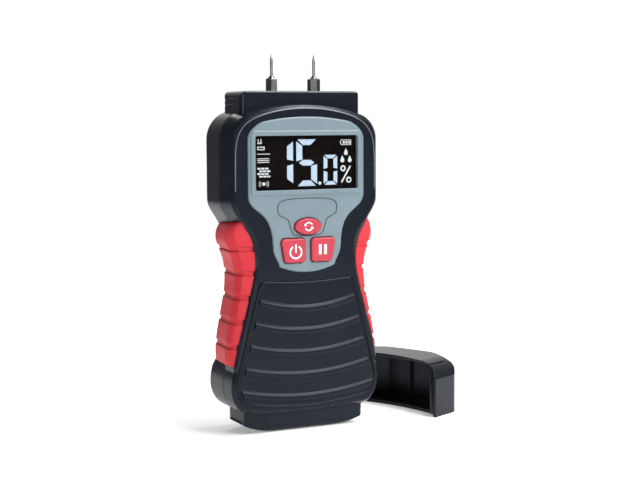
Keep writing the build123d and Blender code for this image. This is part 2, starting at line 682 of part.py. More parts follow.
with BuildPart() as lcd_frame:
    with BuildSketch(at_y(PCB_FRONT_Y)):
        with Locations((0, DISPLAY_Z)):
            Rectangle(LCD_SIZE[0] + 3.2, LCD_SIZE[1] + 3.2)
            Rectangle(LCD_SIZE[0] + 0.2, LCD_SIZE[1] + 0.2, mode=Mode.SUBTRACT)
    extrude(amount=PCB_FRONT_Y - FRAME_FRONT_Y)
save(lcd_frame.part, "lcd_frame")

# ---------------------------------------------------------------- buttons

with BuildPart() as mode_button:
    with BuildSketch(at_y(FLANGE_Y[1])):
        add(mode_face())
    extrude(amount=FLANGE_Y[1] - BUTTON_FRONT_Y)
    fillet(mode_button.faces().sort_by(Axis.Y)[0].edges(), radius=BUTTON_EDGE)
    with BuildSketch(at_y(FLANGE_Y[1])):
        with Locations((0, MODE_Z)):
            Rectangle(2 * (MODE_SIZE[0] + CASE_GAP + EAR), EAR_HEIGHT)
    extrude(amount=FLANGE_Y[1] - FLANGE_Y[0])
    with BuildSketch(at_y(STEM_END_Y)):
        with Locations((0, MODE_Z)):
            Circle(STEM_RADIUS)
    extrude(amount=STEM_END_Y - FLANGE_Y[1])
save(mode_button.part, "mode_button")


def side_button(sign):
    """Power or hold button: cap, two ears that hold it in, and a stem over its switch."""
    with BuildPart() as piece:
        with BuildSketch(at_y(FLANGE_Y[1])):
            add(side_button_face(sign))
        extrude(amount=FLANGE_Y[1] - BUTTON_FRONT_Y)
        fillet(piece.faces().sort_by(Axis.Y)[0].edges(), radius=BUTTON_EDGE)
        with BuildSketch(at_y(FLANGE_Y[1])):
            for x, z, width, height in (SIDE_EAR, LOWER_EAR):
                with Locations((sign * x, z)):
                    Rectangle(width, height)
        extrude(amount=FLANGE_Y[1] - FLANGE_Y[0])
        with BuildSketch(at_y(STEM_END_Y)):
            with Locations((sign * SIDE_SWITCH[0], SIDE_SWITCH[1])):
                Circle(STEM_RADIUS)
        extrude(amount=STEM_END_Y - FLANGE_Y[1])
    return piece.part


save(side_button(-1), "power_button")
save(side_button(1), "hold_button")

# ---------------------------------------------------------------- pins

with BuildPart() as pin_sockets:
    with BuildSketch(Plane.XY.offset(SOCKET_FOOT_Z)):
        with Locations(*PIN_PLACES):
            Circle(SOCKET_RADIUS)
            Circle(PIN_RADIUS, mode=Mode.SUBTRACT)
    extrude(amount=BLOCK_TOP_Z - SOCKET_FOOT_Z)
    with BuildSketch(Plane.XY.offset(SOCKET_FOOT_Z - SOCKET_FLOOR)):
        with Locations(*PIN_PLACES):
            Circle(SOCKET_RADIUS)
    extrude(amount=SOCKET_FLOOR)
save(pin_sockets.part, "pin_sockets")


def collar(x):
    """Hexagonal collar with a small cone on top, bored for the needle."""
    turn = 30 if x > 0 else 0
    with BuildPart() as piece:
        with BuildSketch(Plane.XY.offset(BLOCK_TOP_Z)):
            with Locations((x, PIN_Y)):
                RegularPolygon(COLLAR_FLAT / 2, 6, major_radius=False, rotation=turn + COLLAR_TURN)
        extrude(amount=COLLAR_HEIGHT)
        chamfer(piece.faces().sort_by(Axis.Z)[-1].edges(), length=0.35)
        with Locations((x, PIN_Y, BLOCK_TOP_Z + COLLAR_HEIGHT)):
            Cone(1.7, PIN_RADIUS + 0.25, 1.1, align=(Align.CENTER, Align.CENTER, Align.MIN))
        with Locations((x, PIN_Y, BLOCK_TOP_Z)):
            Cylinder(PIN_RADIUS, 20, mode=Mode.SUBTRACT)
    return piece.part


def needle(x):
    """Straight needle with a ground point, seated in its socket."""
    with BuildPart() as piece:
        with Locations((x, PIN_Y, SOCKET_FOOT_Z)):
            Cylinder(PIN_RADIUS, PIN_TIP_Z - PIN_TAPER - SOCKET_FOOT_Z,
                     align=(Align.CENTER, Align.CENTER, Align.MIN))
        with Locations((x, PIN_Y, PIN_TIP_Z - PIN_TAPER)):
            Cone(PIN_RADIUS, 0.1, PIN_TAPER, align=(Align.CENTER, Align.CENTER, Align.MIN))
    return piece.part


for side_name, x in (("left", -PIN_X), ("right", PIN_X)):
    save(collar(x), f"{side_name}_pin_collar")
    save(needle(x), f"{side_name}_pin")


def lead(points, radius, bend=1.0):
    """Round lead along straight runs joined by tangent arcs."""
    with BuildPart() as piece:
        with BuildLine():
            route = FilletPolyline(*points, radius=bend)
        with BuildSketch(Plane(origin=route @ 0, z_dir=route % 0)):
            Circle(radius)
        sweep()
    return piece.part


with BuildPart() as pin_leads:
    for sign in (1, -1):
        foot = (sign * PIN_X, PIN_Y, SOCKET_FOOT_Z - SOCKET_FLOOR)
        bend = (sign * PIN_X, PIN_Y, PIN_LEAD_Z)
        pad = (sign * PIN_X, PCB_BACK_Y, PIN_LEAD_Z)
        add(lead([foot, bend, pad], LEAD_RADIUS))
save(pin_leads.part, "pin_leads")

# ---------------------------------------------------------------- circuit board

with BuildPart() as circuit_board:
    with BuildSketch(at_y(PCB_BACK_Y)):
        with Locations((0, (BOARD_WIDE_Z[0] + BOARD_WIDE_Z[1]) / 2)):
            Rectangle(BOARD_WIDTH, BOARD_WIDE_Z[1] - BOARD_WIDE_Z[0])
        with Locations((0, (BOARD_FOOT_Z + BOARD_WIDE_Z[0]) / 2)):
            Rectangle(BOARD_FOOT_WIDTH, BOARD_WIDE_Z[0] - BOARD_FOOT_Z)
        with Locations(*BOARD_POSTS):
            Circle(BOARD_SCREW_RADIUS + 0.2, mode=Mode.SUBTRACT)
    extrude(amount=PCB_BACK_Y - PCB_FRONT_Y)
save(circuit_board.part, "circuit_board")

with BuildPart() as switches:
    with BuildSketch(at_y(PCB_FRONT_Y)):
        with Locations(*SWITCH_PLACES):
            Rectangle(SWITCH_SIZE[0], SWITCH_SIZE[0])
    extrude(amount=SWITCH_SIZE[1])
    with BuildSketch(at_y(PCB_FRONT_Y - SWITCH_SIZE[1])):
        with Locations(*SWITCH_PLACES):
            Circle(SWITCH_KEY[0])
    extrude(amount=SWITCH_KEY[1])
save(switches.part, "switches")

with BuildPart() as microcontroller:
    with Locations((0, PCB_BACK_Y + CHIP_SIZE[1] / 2, CHIP_Z)):
        Box(CHIP_SIZE[0], CHIP_SIZE[1], CHIP_SIZE[0])
save(microcontroller.part, "microcontroller")

with BuildPart() as small_components:
    with BuildSketch(at_y(PCB_BACK_Y + 1.2)):
        with Locations(*RESISTOR_PLACES):
            Rectangle(3.2, 1.6)
        with Locations(*REGULATOR_PLACES):
            Rectangle(5.0, 4.0)
    extrude(amount=1.2)
    with BuildSketch(at_y(PCB_BACK_Y + CAPACITOR_SIZE[1])):
        with Locations(*CAPACITOR_PLACES):
            Circle(CAPACITOR_SIZE[0])
    extrude(amount=CAPACITOR_SIZE[1])
save(small_components.part, "small_components")

with BuildPart() as buzzer:
    with Locations((BUZZER_PLACE[0], PCB_BACK_Y + BUZZER_SIZE[1] / 2, BUZZER_PLACE[1])):
        Cylinder(*BUZZER_SIZE, rotation=(90, 0, 0))
save(buzzer.part, "buzzer")

with BuildPart() as board_screws:
    with BuildSketch(at_y(PCB_BACK_Y + BOARD_SCREW_HEAD[1])):
        with Locations(*BOARD_POSTS):
            Circle(BOARD_SCREW_HEAD[0])
    extrude(amount=BOARD_SCREW_HEAD[1])
    with BuildSketch(at_y(PCB_BACK_Y)):
        with Locations(*BOARD_POSTS):
            Circle(BOARD_SCREW_RADIUS)
    extrude(amount=BOARD_SCREW_LENGTH)
save(board_screws.part, "board_screws")

# ---------------------------------------------------------------- pad sensor on the back

with BuildPart() as pad_sensor_cover:
    with BuildSketch(at_y(BACK_Y + SENSOR_PROUD)):
        with Locations((0, SENSOR_Z)):
            RectangleRounded(*SENSOR_SIZE, SENSOR_RIM)
    extrude(amount=SENSOR_PROUD)
    chamfer(pad_sensor_cover.faces().sort_by(Axis.Y)[-1].edges(), length=0.6)
save(pad_sensor_cover.part, "pad_sensor_cover")

with BuildPart() as sensor_plate:
    with BuildSketch(at_y(BACK_GAP_Y)):
        with Locations((0, SENSOR_Z)):
            Rectangle(SENSOR_SIZE[0] - 2 * SENSOR_RIM, SENSOR_SIZE[1] - 2 * SENSOR_RIM)
    extrude(amount=SENSOR_PLATE_THICKNESS)
save(sensor_plate.part, "sensor_plate")

(plate_x, plate_z), (board_x, board_z) = SENSOR_LEAD_XZ
sensor_route = [
    (plate_x, BACK_GAP_Y - SENSOR_PLATE_THICKNESS, plate_z),
    (plate_x, 5.0, plate_z),
    (board_x, 2.0, board_z),
    (board_x, LEAD_END_Y, board_z),
]
save(lead(sensor_route, LEAD_RADIUS), "sensor_lead")

with BuildPart() as rating_plate:
    with BuildSketch(at_y(BACK_Y + RATING_PROUD)):
        with Locations((0, RATING_Z)):
            RectangleRounded(*RATING_SIZE, 1.0)
    extrude(amount=RATING_PROUD)
save(rating_plate.part, "rating_plate")

# ---------------------------------------------------------------- battery

battery_front_y = BATTERY_MID_Y - BATTERY_SIZE[1] / 2
battery_back_y = BATTERY_MID_Y + BATTERY_SIZE[1] / 2
battery_top_z = BATTERY_FOOT_Z + BATTERY_SIZE[2]

with BuildPart() as battery:
    with BuildSketch(Plane.XY.offset(BATTERY_FOOT_Z)):
        with Locations((0, BATTERY_MID_Y)):
            RectangleRounded(BATTERY_SIZE[0], BATTERY_SIZE[1], 2.0)
    extrude(amount=BATTERY_SIZE[2])
save(battery.part, "battery")

with BuildPart() as battery_terminals:
    with BuildSketch(Plane.XY.offset(battery_top_z)):
        with Locations((TERMINAL_X, BATTERY_MID_Y), (-TERMINAL_X, BATTERY_MID_Y)):
            Circle(TERMINAL_SIZE[0])
    extrude(amount=TERMINAL_SIZE[1])
save(battery_terminals.part, "battery_terminals")

with BuildPart() as battery_snap:
    with BuildSketch(Plane.XY.offset(battery_top_z + TERMINAL_SIZE[1])):
        with Locations((0, BATTERY_MID_Y)):
            RectangleRounded(SNAP_SIZE[0], SNAP_SIZE[1], 3.0)
    extrude(amount=SNAP_SIZE[2])
save(battery_snap.part, "battery_snap")

for node, sign in (("battery_lead_red", 1), ("battery_lead_black", -1)):
    snap_x, joint_x = [sign * x for x in BATTERY_LEAD_X]
    snap_exit = (snap_x, BATTERY_MID_Y, battery_top_z + TERMINAL_SIZE[1] + SNAP_SIZE[2])
    rise = (snap_x, BATTERY_MID_Y, BATTERY_LEAD_Z[0])
    lean = (joint_x, BATTERY_MID_Y, BATTERY_LEAD_Z[1])
    joint = (joint_x, LEAD_END_Y, BATTERY_LEAD_Z[1])
    save(lead([snap_exit, rise, lean, joint], BATTERY_LEAD_RADIUS), node)

with BuildPart() as battery_tray:
    tray_front_y = battery_front_y - TRAY_GAP - TRAY_WALL
    with BuildSketch(Plane.XY.offset(BATTERY_FOOT_Z - 0.1)):
        with Locations((0, (tray_front_y + TRAY_BACK_Y) / 2)):
            Rectangle(BATTERY_SIZE[0] + 2 * (TRAY_GAP + TRAY_WALL), TRAY_BACK_Y - tray_front_y)
        with Locations((0, (tray_front_y + TRAY_WALL + TRAY_BACK_Y + 1) / 2)):
            Rectangle(BATTERY_SIZE[0] + 2 * TRAY_GAP, TRAY_BACK_Y + 1 - tray_front_y - TRAY_WALL,
                      mode=Mode.SUBTRACT)
    extrude(amount=BATTERY_SIZE[2])
    with BuildSketch(Plane.XY.offset(BATTERY_FOOT_Z - 0.1)):
        with Locations((0, (tray_front_y + TRAY_BACK_Y) / 2)):
            Rectangle(BATTERY_SIZE[0] + 2 * (TRAY_GAP + TRAY_WALL), TRAY_BACK_Y - tray_front_y)
    extrude(amount=-TRAY_WALL)
save(battery_tray.part, "battery_tray")

with BuildPart() as battery_foam:
    with BuildSketch(at_y(BACK_GAP_Y)):
        with Locations((0, FOAM_Z)):
            Rectangle(*FOAM_SIZE)
    extrude(amount=BACK_GAP_Y - battery_back_y - FIT)
save(battery_foam.part, "battery_foam")

with BuildPart() as battery_door:
    with BuildSketch(at_y(BACK_Y)):
        with Locations((0, (DOOR_PIVOT[1] + DOOR_TOP_Z) / 2)):
            Rectangle(2 * DOOR_HALF, DOOR_TOP_Z - DOOR_PIVOT[1])
    extrude(amount=WALL)
    with BuildSketch(Plane.YZ.offset(-DOOR_HALF)):
        with Locations(DOOR_PIVOT):
            Circle(DOOR_BARREL)
    extrude(amount=2 * DOOR_HALF)
    with BuildSketch(Plane.YZ.offset(-DOOR_HALF - DOOR_PIN_LENGTH)):
        with Locations(DOOR_PIVOT):
            Circle(DOOR_PIN_RADIUS)
    extrude(amount=2 * (DOOR_HALF + DOOR_PIN_LENGTH))
    with BuildSketch(at_y(BACK_Y)):
        for step in range(THUMB_GROOVES):
            with Locations((0, DOOR_TOP_Z - 5.0 - THUMB_GROOVE_PITCH * step)):
                SlotOverall(14 - 1.6 * step, 1.1)
    extrude(amount=0.7, mode=Mode.SUBTRACT)
save(battery_door.part, "battery_door")

# ---------------------------------------------------------------- case screws

with BuildPart() as case_screws:
    with BuildSketch(at_y(SCREW_SEAT_Y + SCREW_HEAD_HEIGHT)):
        with Locations(*SCREW_PLACES):
            Circle(SCREW_HEAD_RADIUS)
    extrude(amount=SCREW_HEAD_HEIGHT)
    with BuildSketch(at_y(SCREW_SEAT_Y + SCREW_HEAD_HEIGHT)):
        with Locations(*SCREW_PLACES):
            Rectangle(*SCREW_CROSS)
            Rectangle(*reversed(SCREW_CROSS))
    extrude(amount=1.0, mode=Mode.SUBTRACT)
    with BuildSketch(at_y(SCREW_SEAT_Y)):
        with Locations(*SCREW_PLACES):
            Circle(SCREW_RADIUS)
    extrude(amount=SCREW_SEAT_Y - SCREW_END_Y)
save(case_screws.part, "case_screws")

# ---------------------------------------------------------------- cap

def both_sides(edge):
    """Closed outline from its right half, given from the top down."""
    return edge + [(-x, z) for x, z in reversed(edge)]


def cap_face(inset):
    """Cap outline facing the front, shrunk by inset; it runs below the mouth."""
    with BuildSketch() as face:
        with BuildLine():
            Polyline(*both_sides(CAP_SIDE), close=True)
        make_face()
        for (corner_x, corner_z), round_off in zip(CAP_SIDE, CAP_ROUNDS):
            corners = [v for v in face.vertices()
                       if abs(abs(v.X) - corner_x) < 0.01 and abs(v.Y - corner_z) < 0.01]
            fillet(corners, radius=round_off)
        if inset:
            offset(amount=-inset)
    return face.sketch


with BuildPart() as seated_cap:
    with BuildSketch(at_y(CAP_BACK_Y)):
        add(cap_face(0.0))
    extrude(amount=CAP_BACK_Y - CAP_STATIONS[-1][0])
    for (front_y, front_inset), (rear_y, rear_inset) in zip(CAP_STATIONS, CAP_STATIONS[1:]):
        with BuildSketch(at_y(rear_y)):
            add(cap_face(rear_inset))
        with BuildSketch(at_y(front_y)):
            add(cap_face(front_inset))
        loft(ruled=True)
    with BuildSketch(Plane.XY.offset(CAP_FOOT_Z)):
        with BuildLine():
            ThreePointArc((-CAP_CROWN[0], CAP_CROWN[1]), (0, CAP_FRONT_Y), CAP_CROWN)
            for sign in (1, -1):
                corner = (CAP_CROWN, CAP_SHOULDER, (BODY_HALF, CAP_SIDE_Y))
                ThreePointArc(*[(sign * x, y) for x, y in corner])
                Line((sign * BODY_HALF, CAP_SIDE_Y), (sign * BODY_HALF, CAP_BACK_Y))
            Line((-BODY_HALF, CAP_BACK_Y), (BODY_HALF, CAP_BACK_Y))
        make_face()
    extrude(amount=CAP_SIDE[0][1] - CAP_FOOT_Z + 2, mode=Mode.INTERSECT)
    with BuildSketch(at_y(CAP_CAVITY_Y[1])):
        with BuildLine():
            Polyline(*both_sides(CAP_CAVITY), close=True)
        make_face()
    extrude(amount=CAP_CAVITY_Y[1] - CAP_CAVITY_Y[0], mode=Mode.SUBTRACT)
    with BuildSketch(at_y(CAP_CAVITY_Y[1])):
        with Locations(*CAP_RIBS):
            Rectangle(*CAP_RIB_SIZE)
    extrude(amount=CAP_CAVITY_Y[1] - CAP_CAVITY_Y[0])
    for sign in (1, -1):
        with Locations((sign * (CAP_CAVITY_HALF + 0.05), 0.0, CLIP_BEAD_Z)):
            Cylinder(CLIP_BEAD_RADIUS, 12, rotation=(90, 0, 0))
    with BuildSketch(at_y(CAP_BACK_Y + 1)):
        add(case_face(-CAP_SEAT_GAP))
    extrude(amount=CAP_BACK_Y - CAP_FRONT_Y + 2, mode=Mode.SUBTRACT)

# The cap lies on its back: its crown direction turns to the floor direction at CAP_YAW.
along = (cos(radians(CAP_YAW)), sin(radians(CAP_YAW)))
across = (-along[1], along[0])
cap_place = Plane(
    origin=(
        CAP_NEAR_CORNER[0] + across[0] * BODY_HALF - along[0] * CAP_FOOT_Z,
        CAP_NEAR_CORNER[1] + across[1] * BODY_HALF - along[1] * CAP_FOOT_Z,
        CAP_BACK_Y,
    ),
    x_dir=(-across[0], -across[1], 0),
    z_dir=(along[0], along[1], 0),
)
save(cap_place.location * seated_cap.part, "cap")
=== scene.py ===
import json
from math import asin, cos, pi, radians, sin

import bpy
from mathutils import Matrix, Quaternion, Vector


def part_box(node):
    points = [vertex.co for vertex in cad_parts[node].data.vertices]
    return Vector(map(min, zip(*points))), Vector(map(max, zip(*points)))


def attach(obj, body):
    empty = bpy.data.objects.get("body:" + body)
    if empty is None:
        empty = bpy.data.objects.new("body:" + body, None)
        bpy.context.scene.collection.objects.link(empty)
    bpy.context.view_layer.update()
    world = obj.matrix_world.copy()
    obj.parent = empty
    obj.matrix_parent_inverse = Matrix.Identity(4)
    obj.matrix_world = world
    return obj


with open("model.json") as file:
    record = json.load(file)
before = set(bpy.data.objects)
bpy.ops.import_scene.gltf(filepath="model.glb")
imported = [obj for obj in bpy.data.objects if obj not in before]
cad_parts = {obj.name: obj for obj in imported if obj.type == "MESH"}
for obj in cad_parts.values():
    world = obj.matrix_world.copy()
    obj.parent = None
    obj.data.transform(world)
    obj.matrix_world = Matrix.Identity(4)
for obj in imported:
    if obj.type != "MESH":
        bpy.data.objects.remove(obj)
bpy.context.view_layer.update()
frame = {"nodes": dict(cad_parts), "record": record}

# Moisture meter on a white table with its cap beside it. Metres, in the frame of the CAD model.
MM = 0.001
NODES = frame["nodes"]


# ---------------------------------------------------------------- camera and studio

CAMERA_PLACE = Vector((-260.6, -561.1, 139.0)) * MM
CAMERA_HEADING = radians(26.05)
CAMERA_DIP = radians(5.04)
CAMERA_ROLL = radians(0.3)
CAMERA_LENS = 77.2
CAMERA_SENSOR = 36.0
WORLD_DIM = 0.13
WORLD_BRIGHT = 1.05
WORLD_CONE = (0.7, 0.93)
FLOOR_RADIUS = 0.55
FLOOR_CORNERS = 96
FLOOR_GLOW = 0.26
LIGHT_TARGET = (0.0, 0.0, 0.08)
LIGHTS = [
    ("key", (0.48, -0.74, 0.72), (0.6, 0.75), 13.2),
    ("fill", (-0.8, -0.9, 0.3), (0.4, 0.5), 5.0),
    ("rear", (0.2, 0.85, 0.85), (0.5, 0.4), 4.5),
    ("top", (0.36, -0.1, 0.9), (0.55, 0.35), 7.5),
]


def add_camera():
    data = bpy.data.cameras.new("camera")
    data.lens = CAMERA_LENS
    data.sensor_width = CAMERA_SENSOR
    data.clip_start = 0.01
    data.clip_end = 20.0
    camera = bpy.data.objects.new("camera", data)
    bpy.context.scene.collection.objects.link(camera)
    camera.location = CAMERA_PLACE
    level = cos(CAMERA_DIP)
    forward = Vector((sin(CAMERA_HEADING) * level, cos(CAMERA_HEADING) * level, -sin(CAMERA_DIP)))
    turn = forward.to_track_quat("-Z", "Y") @ Quaternion((0.0, 0.0, 1.0), -CAMERA_ROLL)
    camera.rotation_euler = turn.to_euler()
    bpy.context.scene.camera = camera


def add_light(name, place, size, power):
    """Soft rectangular light aimed at the middle of the meter."""
    data = bpy.data.lights.new(name, "AREA")
    data.shape = "RECTANGLE"
    data.size, data.size_y = size
    data.energy = power
    light = bpy.data.objects.new(name, data)
    bpy.context.scene.collection.objects.link(light)
    light.location = place
    light.rotation_euler = (Vector(LIGHT_TARGET) - Vector(place)).to_track_quat("-Z", "Y").to_euler()


def add_studio():
    """Round white table, a lit wall behind it and large soft lights, as for a catalogue picture."""
    world = bpy.data.worlds.new("studio")
    bpy.context.scene.world = world
    world.use_nodes = True
    tree = world.node_tree
    background = tree.nodes["Background"]
    place = tree.nodes.new("ShaderNodeTexCoord")
    toward = tree.nodes.new("ShaderNodeVectorMath")
    toward.operation = "DOT_PRODUCT"
    toward.inputs[1].default_value = (sin(CAMERA_HEADING), cos(CAMERA_HEADING), 0.0)
    tree.links.new(place.outputs["Generated"], toward.inputs[0])
    ramp = tree.nodes.new("ShaderNodeMapRange")
    ramp.interpolation_type = "SMOOTHSTEP"
    ramp.inputs["From Min"].default_value = WORLD_CONE[0]
    ramp.inputs["From Max"].default_value = WORLD_CONE[1]
    ramp.inputs["To Min"].default_value = WORLD_DIM
    ramp.inputs["To Max"].default_value = WORLD_BRIGHT
    tree.links.new(toward.outputs["Value"], ramp.inputs["Value"])
    tree.links.new(ramp.outputs["Result"], background.inputs["Strength"])
    background.inputs["Color"].default_value = WHITE
    for light in LIGHTS:
        add_light(*light)
    mesh = bpy.data.meshes.new("floor")
    rim = [(x, y, 0.0) for x, y in circle(0.0, 0.0, FLOOR_RADIUS, steps=FLOOR_CORNERS)]
    mesh.from_pydata(rim, [], [tuple(range(FLOOR_CORNERS))])
    floor = bpy.data.objects.new("floor", mesh)
    bpy.context.scene.collection.objects.link(floor)
    floor.data.materials.append(floor_material())


# ---------------------------------------------------------------- materials

WHITE = (1.0, 1.0, 1.0, 1.0)
COOL = (0.82, 0.9, 1.0, 1.0)
GRAIN_DEPTH = 0.00006
TOOL_MARK_DEPTH = 0.00003
BEVEL_SAMPLES = 6


def new_material(name):
    material = bpy.data.materials.new(name)
    material.use_nodes = True
    return material, material.node_tree, material.node_tree.nodes["Principled BSDF"]


def add_node(tree, kind, **inputs):
    node = tree.nodes.new(kind)
    for key, value in inputs.items():
        node.inputs[key.replace("_", " ")].default_value = value
    return node


def noise(tree, scale, detail=2.0):
    place = tree.nodes.new("ShaderNodeTexCoord")
    node = add_node(tree, "ShaderNodeTexNoise", Scale=scale, Detail=detail)
    tree.links.new(place.outputs["Object"], node.inputs["Vector"])
    return node.outputs["Fac"]


def spread(tree, source, low, high):
    """Maps a 0 to 1 texture onto low to high."""
    node = tree.nodes.new("ShaderNodeMapRange")
    node.inputs["To Min"].default_value = low
    node.inputs["To Max"].default_value = high
    tree.links.new(source, node.inputs["Value"])
    return node.outputs["Result"]


def two_tone(tree, source, dark, light):
    node = tree.nodes.new("ShaderNodeValToRGB")
    node.color_ramp.elements[0].position = 0.3
    node.color_ramp.elements[1].position = 0.7
    node.color_ramp.elements[0].color = (*dark, 1.0)
    node.color_ramp.elements[1].color = (*light, 1.0)
    tree.links.new(source, node.inputs["Fac"])
    return node.outputs["Color"]


def bump(tree, shader, source, strength, distance, edge=0.0):
    """Fine relief; edge rounds sharp edges over that distance."""
    node = add_node(tree, "ShaderNodeBump", Strength=strength, Distance=distance)
    tree.links.new(source, node.inputs["Height"])
    if edge:
        soft = add_node(tree, "ShaderNodeBevel", Radius=edge)
        soft.samples = BEVEL_SAMPLES
        tree.links.new(soft.outputs["Normal"], node.inputs["Normal"])
    tree.links.new(node.outputs["Normal"], shader.inputs["Normal"])


def moulded(name, dark, light, roughness=(0.4, 0.5), grain=2600.0, relief=0.25, specular=0.5,
            edge=0.0003, tint=WHITE):
    """Moulded plastic or rubber: slow colour drift, fine grain, uneven gloss and rounded edges."""
    material, tree, shader = new_material(name)
    shader.inputs["Specular IOR Level"].default_value = specular
    shader.inputs["Specular Tint"].default_value = tint
    tree.links.new(two_tone(tree, noise(tree, 60.0, 4.0), dark, light), shader.inputs["Base Color"])
    tree.links.new(spread(tree, noise(tree, 220.0, 4.0), *roughness), shader.inputs["Roughness"])
    bump(tree, shader, noise(tree, grain, 3.0), relief, GRAIN_DEPTH, edge)
    return material


def metal(name, dark, light, roughness, grain=900.0):
    """Turned or ground metal with fine rings of tool marks along Z."""
    material, tree, shader = new_material(name)
    shader.inputs["Metallic"].default_value = 1.0
    tree.links.new(two_tone(tree, noise(tree, 400.0, 5.0), dark, light), shader.inputs["Base Color"])
    tree.links.new(spread(tree, noise(tree, 1500.0, 3.0), *roughness), shader.inputs["Roughness"])
    place = tree.nodes.new("ShaderNodeTexCoord")
    wave = add_node(tree, "ShaderNodeTexWave", Scale=grain, Distortion=1.5)
    wave.bands_direction = "Z"
    tree.links.new(place.outputs["Object"], wave.inputs["Vector"])
    bump(tree, shader, wave.outputs["Fac"], 0.15, TOOL_MARK_DEPTH)
    return material


def clear_window(name):
    """Clear moulded window: mostly see-through and glossy."""
    material, tree, shader = new_material(name)
    colour = two_tone(tree, noise(tree, 90.0), (0.004, 0.004, 0.005), (0.006, 0.006, 0.007))
    tree.links.new(colour, shader.inputs["Base Color"])
    tree.links.new(spread(tree, noise(tree, 300.0), 0.02, 0.05), shader.inputs["Roughness"])
    shader.inputs["Alpha"].default_value = 0.07
    return material


def lit(name, dark, light, strength):
    """Lit display segment, a little uneven like a real backlight."""
    material, tree, shader = new_material(name)
    colour = two_tone(tree, noise(tree, 500.0, 2.0), dark, light)
    tree.links.new(colour, shader.inputs["Base Color"])
    tree.links.new(colour, shader.inputs["Emission Color"])
    shader.inputs["Emission Strength"].default_value = strength
    shader.inputs["Roughness"].default_value = 0.5
    return material


def floor_material():
    material, tree, shader = new_material("floor")
    colour = two_tone(tree, noise(tree, 3.0), (0.93, 0.93, 0.93), (0.95, 0.95, 0.95))
    tree.links.new(colour, shader.inputs["Base Color"])
    tree.links.new(spread(tree, noise(tree, 8.0), 0.85, 0.95), shader.inputs["Roughness"])
    shader.inputs["Specular IOR Level"].default_value = 0.1
    shader.inputs["Emission Color"].default_value = WHITE
    shader.inputs["Emission Strength"].default_value = FLOOR_GLOW
    return material


MATERIALS = {
    "case_black": moulded(
        "case_black", (0.0058, 0.0072, 0.0114), (0.0082, 0.0098, 0.0152),
        (0.24, 0.3), relief=0.05, specular=0.17, tint=COOL, edge=0.0005,
    ),
    # light grey glossy plastic for the thin edge tubes: a painted highlight along the bevel and block
    # edges of the black case
    "lip_painted_highlight": moulded(
        "lip_painted_highlight", (0.07, 0.085, 0.1), (0.08, 0.095, 0.11),
        (0.3, 0.36), relief=0.0, specular=0.8,
    ),
    "cap_black": moulded(
        "cap_black", (0.006, 0.0072, 0.0096), (0.0085, 0.01, 0.0128),
        (0.24, 0.32), relief=0.05, specular=0.19, edge=0.0005, tint=COOL,
    ),
    "bezel_grey": moulded(
        "bezel_grey", (0.14, 0.19, 0.216), (0.16, 0.215, 0.242),
        (0.3, 0.38), relief=0.08, specular=0.4, edge=0.0006,
    ),
    "window_clear": clear_window("window_clear"),
    "lcd_black": moulded(
        "lcd_black", (0.0035, 0.0022, 0.002), (0.0045, 0.003, 0.0026),
        (0.2, 0.26), relief=0.0, specular=0.1,
    ),
    "backlight_white": moulded("backlight_white", (0.7, 0.73, 0.76), (0.78, 0.8, 0.83)),
    "strip_black": moulded("strip_black", (0.02, 0.02, 0.02), (0.03, 0.03, 0.03), (0.6, 0.7)),
    "frame_black": moulded("frame_black", (0.02, 0.02, 0.02), (0.03, 0.03, 0.03)),
    "grip_red": moulded(
        "grip_red", (0.5, 0.032, 0.042), (0.55, 0.038, 0.05),
        (0.4, 0.48), 1800.0, 0.1, specular=0.09, edge=0.0016,
    ),
    "button_red": moulded(
        "button_red", (0.4, 0.038, 0.058), (0.44, 0.046, 0.068),
        (0.28, 0.36), relief=0.08, specular=0.3, edge=0.0006,
    ),
    "pad_black": moulded(
        "pad_black", (0.0036, 0.0044, 0.0075), (0.0052, 0.0062, 0.01),
        (0.26, 0.32), 1800.0, 0.06, specular=0.18, edge=0.0004, tint=COOL,
    ),
    "pin_steel": metal("pin_steel", (0.2, 0.19, 0.17), (0.32, 0.3, 0.27), (0.25, 0.4)),
    "collar_steel": metal("collar_steel", (0.13, 0.13, 0.13), (0.2, 0.19, 0.18), (0.3, 0.45)),
    "socket_brass": metal("socket_brass", (0.6, 0.4, 0.15), (0.75, 0.55, 0.25), (0.25, 0.35)),
    "wire_red": moulded("wire_red", (0.5, 0.01, 0.01), (0.6, 0.02, 0.02)),
    "wire_black": moulded("wire_black", (0.01, 0.01, 0.01), (0.02, 0.02, 0.02)),
    "board_green": moulded("board_green", (0.01, 0.12, 0.04), (0.02, 0.18, 0.06), (0.25, 0.35)),
    "chip_black": moulded("chip_black", (0.015, 0.015, 0.015), (0.03, 0.03, 0.03), (0.5, 0.6)),
    "switch_metal": metal("switch_metal", (0.5, 0.5, 0.5), (0.65, 0.65, 0.65), (0.25, 0.4)),
    "screw_steel": metal("screw_steel", (0.1, 0.1, 0.1), (0.2, 0.2, 0.2), (0.35, 0.5)),
    "sensor_grey": moulded("sensor_grey", (0.05, 0.05, 0.055), (0.065, 0.065, 0.07), (0.45, 0.55)),
    "copper": metal("copper", (0.7, 0.3, 0.18), (0.85, 0.45, 0.3), (0.25, 0.4)),
    "plate_silver": metal("plate_silver", (0.45, 0.45, 0.45), (0.55, 0.55, 0.55), (0.35, 0.45)),
    "battery_case": moulded("battery_case", (0.04, 0.05, 0.08), (0.06, 0.07, 0.1), (0.2, 0.3)),
    "terminal_metal": metal("terminal_metal", (0.6, 0.6, 0.6), (0.8, 0.8, 0.8), (0.15, 0.25)),
    "foam_grey": moulded("foam_grey", (0.1, 0.1, 0.1), (0.16, 0.16, 0.16), (0.85, 0.95), 900.0, 0.8),
}
LEGEND = moulded("legend_white", (0.82, 0.82, 0.82), (0.88, 0.88, 0.88), (0.4, 0.5))
# near-black colour for the name field groove line: painted shade in the groove
GROOVE_SHADE = moulded("groove_painted_shade", (0.01, 0.018, 0.022), (0.015, 0.024, 0.03), (0.5, 0.6))
